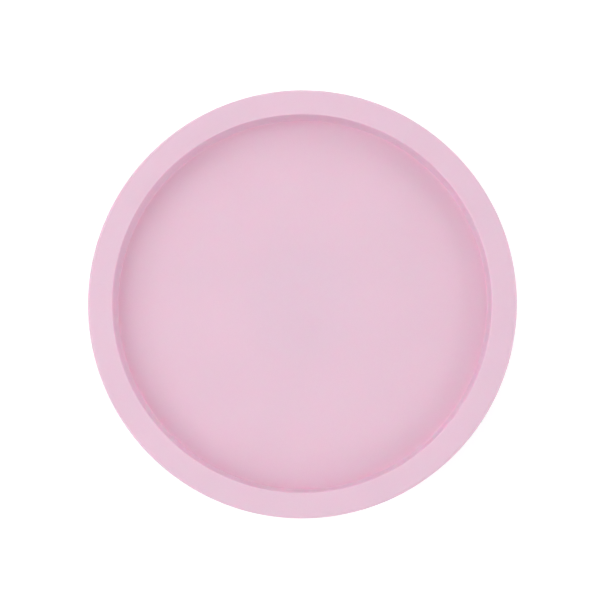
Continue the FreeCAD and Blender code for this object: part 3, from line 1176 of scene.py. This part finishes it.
@dataclass
class RubberFoot:
    """One push-in foot: a pad with a tread under it, a stem and a barb."""

    finishes: Palette
    number: int
    count: ClassVar[int] = 6
    pad_round: float = 1.0 * MM
    shoulder_round: float = 0.2 * MM
    tread_depth: float = 0.35 * MM
    tread_width: float = 0.7 * MM
    tread_circles: tuple[float, ...] = (2.6 * MM, 4.4 * MM)
    dimple: float = 1.1 * MM
    seat_depth: float = 0.8 * MM
    stem_radius: float = 2.6 * MM
    barb_radius: float = 3.6 * MM
    barb_height: float = 2.5 * MM
    barb_tip: float = 1.9 * MM
    body: str = "pedestal"

    def sole(self, low: float) -> list[Corner]:
        """Outlines the pad's lower face with its dimple and tread grooves.

        Args:
            low: The height that the pad stands on.

        Returns:
            The corners, from the axis outwards.
        """
        outline = [
            Corner(0, low + self.tread_depth),
            Corner(self.dimple, low + self.tread_depth),
            Corner(self.dimple + self.tread_depth, low),
        ]
        flank = self.tread_width / 4
        for circle in self.tread_circles:
            outline += [
                Corner(circle, low),
                Corner(circle + flank, low + self.tread_depth),
                Corner(circle + self.tread_width - flank, low + self.tread_depth),
                Corner(circle + self.tread_width, low),
            ]
        return outline

    def build(self) -> None:
        """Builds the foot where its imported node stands."""
        node = f"rubber_foot_{self.number}"
        low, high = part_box(node)
        centre = (low + high) / 2
        pad = (high.x - low.x) / 2
        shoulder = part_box("bottom_cover")[0].z + self.seat_depth
        barb = high.z - self.barb_height
        skin = turned(
            [
                *self.sole(low.z),
                Corner(pad, low.z, self.pad_round),
                Corner(pad, shoulder, self.shoulder_round),
                Corner(self.stem_radius, shoulder),
                Corner(self.stem_radius, barb),
                Corner(self.barb_radius, barb, self.shoulder_round),
                Corner(self.barb_tip, high.z, self.shoulder_round),
                Corner(0, high.z),
            ],
            SMALL_TURN_STEPS,
        )
        bmesh.ops.translate(skin, vec=(centre.x, centre.y, 0), verts=skin.verts)
        finish = self.finishes["foot_rubber"]
        finished(f"foot_pad_{self.number}", skin, finish, self.body, node)


# ---- The studio ----


@dataclass(frozen=True)
class SoftBox:
    """A large square lamp that lights the plate and doesn't show itself."""

    name: str
    azimuth: float
    elevation: float
    power: float
    distance: float = 3.0
    side: float = 2.5

    def place(self, target: Vector) -> None:
        """Hangs the lamp.

        Args:
            target: What it is aimed at.
        """
        lamp = bpy.data.lights.new(self.name, "AREA")
        lamp.shape = "SQUARE"
        lamp.size = self.side
        lamp.energy = self.power
        obj = added(self.name, lamp)
        level = math.cos(self.elevation)
        towards = Vector(
            (level * math.cos(self.azimuth), level * math.sin(self.azimuth), math.sin(self.elevation))
        )
        obj.location = target + towards * self.distance
        obj.rotation_mode = "QUATERNION"
        obj.rotation_quaternion = towards.to_track_quat("Z", "Y")
        obj.visible_camera = False


@dataclass(frozen=True)
class Studio:
    """A plain white floor with a painted glow, soft light and a camera that looks down on the plate."""

    floor_side: float = 14.0
    floor_colour: Colour = (0.65, 0.65, 0.65)
    floor_roughness: float = 0.9
    blotch_size: float = 0.4
    blotch_tint: float = 0.995
    floor_glow: float = 0.28
    seen_glow: float = 0.24
    far_glow: float = 0.80
    glow_rise: tuple[float, float] = (0.5, 2.5)
    dome_strength: float = 0.41
    backdrop: float = 1.1
    lens: float = 62.0
    clip: tuple[float, float] = (0.01, 100.0)
    camera_distance: float = 0.720
    camera_tilt: float = math.radians(4.63)
    camera_turn: float = math.radians(23.0)
    camera_offset: tuple[float, float] = (-0.65 * MM, 0.62 * MM)
    lamps: tuple[SoftBox, ...] = (
        SoftBox("left_key", math.radians(180), math.radians(50), 24.0),
        SoftBox("left_low", math.radians(180), math.radians(15), 29.0),
        SoftBox("right_fill", 0.0, math.radians(25), 34.0),
        SoftBox("back_fill", math.radians(90), math.radians(25), 28.0),
        SoftBox("front_fill", math.radians(270), math.radians(25), 21.0),
        SoftBox("overhead", 0.0, math.radians(90), 9.0),
    )

    def camera(self, target: Vector) -> None:
        """Sets the camera up.

        Args:
            target: The point that it looks at.
        """
        data = bpy.data.cameras.new("camera")
        data.lens = self.lens
        data.clip_start, data.clip_end = self.clip
        obj = added("camera", data)
        back = Vector(
            (
                math.sin(self.camera_tilt) * math.sin(self.camera_turn),
                -math.sin(self.camera_tilt) * math.cos(self.camera_turn),
                math.cos(self.camera_tilt),
            )
        )
        up = Vector((0, 1, 0))
        right = up.cross(back).normalized()
        turn = Matrix((right, back.cross(right), back)).transposed().to_4x4()
        obj.matrix_world = Matrix.Translation(target + back * self.camera_distance) @ turn
        bpy.context.scene.camera = obj

    def glowing_floor_paint(self) -> Material:
        """Makes the floor's white paint, with a painted glow. From below it is clear, so that the underside
        can be looked at.

        Returns:
            The paint.
        """
        graph = Graph("glowing_floor_paint")
        blotched = tinted(self.floor_colour, self.blotch_tint)
        graph.paint(graph.mix(graph.noise(self.blotch_size, 3), blotched, self.floor_colour))
        # Painted light: the floor glows faintly for the turntable, lighting it from below, and more
        # brightly for the camera, the more so the farther it lies from the axis.
        reach = graph.nodes.new("ShaderNodeVectorMath")
        reach.operation = "LENGTH"
        graph.link(graph.place, reach.inputs[0])
        rise = graph.nodes.new("ShaderNodeMapRange")
        rise.inputs["From Min"].default_value, rise.inputs["From Max"].default_value = self.glow_rise
        rise.inputs["To Min"].default_value = self.floor_glow + self.seen_glow
        rise.inputs["To Max"].default_value = self.floor_glow + self.far_glow
        graph.link(reach.outputs["Value"], rise.inputs["Value"])
        seen = graph.nodes.new("ShaderNodeMapRange")
        seen.inputs["To Min"].default_value = self.floor_glow
        graph.link(rise.outputs["Result"], seen.inputs["To Max"])
        graph.link(graph.nodes.new("ShaderNodeLightPath").outputs["Is Camera Ray"], seen.inputs["Value"])
        graph.link(seen.outputs["Result"], graph.shader.inputs["Emission Strength"])
        graph.set(Roughness=self.floor_roughness, Emission_Color=(1, 1, 1, 1))
        mixer = graph.nodes.new("ShaderNodeMixShader")
        amount, front, back = mixer.inputs
        graph.link(graph.nodes.new("ShaderNodeNewGeometry").outputs["Backfacing"], amount)
        graph.link(graph.shader.outputs["BSDF"], front)
        graph.link(graph.nodes.new("ShaderNodeBsdfTransparent").outputs["BSDF"], back)
        graph.link(mixer.outputs["Shader"], graph.output.inputs["Surface"])
        return graph.material

    def floor(self) -> None:
        """Lays the floor."""
        bm = bmesh.new()
        bmesh.ops.create_grid(bm, x_segments=1, y_segments=1, size=self.floor_side / 2)
        mesh = as_mesh("floor", bm)
        mesh.materials.append(self.glowing_floor_paint())
        added("floor", mesh)

    def dome(self) -> None:
        """Surrounds the scene with even white light."""
        world = bpy.data.worlds.new("dome")
        world.use_nodes = True
        nodes = world.node_tree.nodes
        background = nodes["Background"]
        background.inputs["Color"].default_value = (1, 1, 1, 1)
        seen = nodes.new("ShaderNodeMapRange")
        seen.inputs["To Min"].default_value = self.dome_strength
        seen.inputs["To Max"].default_value = self.backdrop
        path = nodes.new("ShaderNodeLightPath")
        world.node_tree.links.new(path.outputs["Is Camera Ray"], seen.inputs["Value"])
        world.node_tree.links.new(seen.outputs["Result"], background.inputs["Strength"])
        bpy.context.scene.world = world

    def build(self) -> None:
        """Sets up the camera, the floor and the light."""
        target = Vector((*self.camera_offset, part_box("top_plate")[1].z))
        self.camera(target)
        self.floor()
        self.dome()
        for lamp in self.lamps:
            lamp.place(target)
        bpy.context.scene.view_settings.view_transform = "Standard"


def main() -> None:
    """Builds the studio and every sub-assembly, in order."""
    logging.basicConfig(level=logging.INFO, format="%(name)s: %(message)s")
    Studio().build()
    finishes = Finishes().build()
    DishedPlate(finishes).build()
    Spindle(finishes).build()
    for place in Place:
        Bearing(finishes, place).build()
    Pedestal(finishes).build()
    BottomCover(finishes).build()
    for number in range(1, RubberFoot.count + 1):
        RubberFoot(finishes, number).build()


if __name__ == "__main__":
    main()
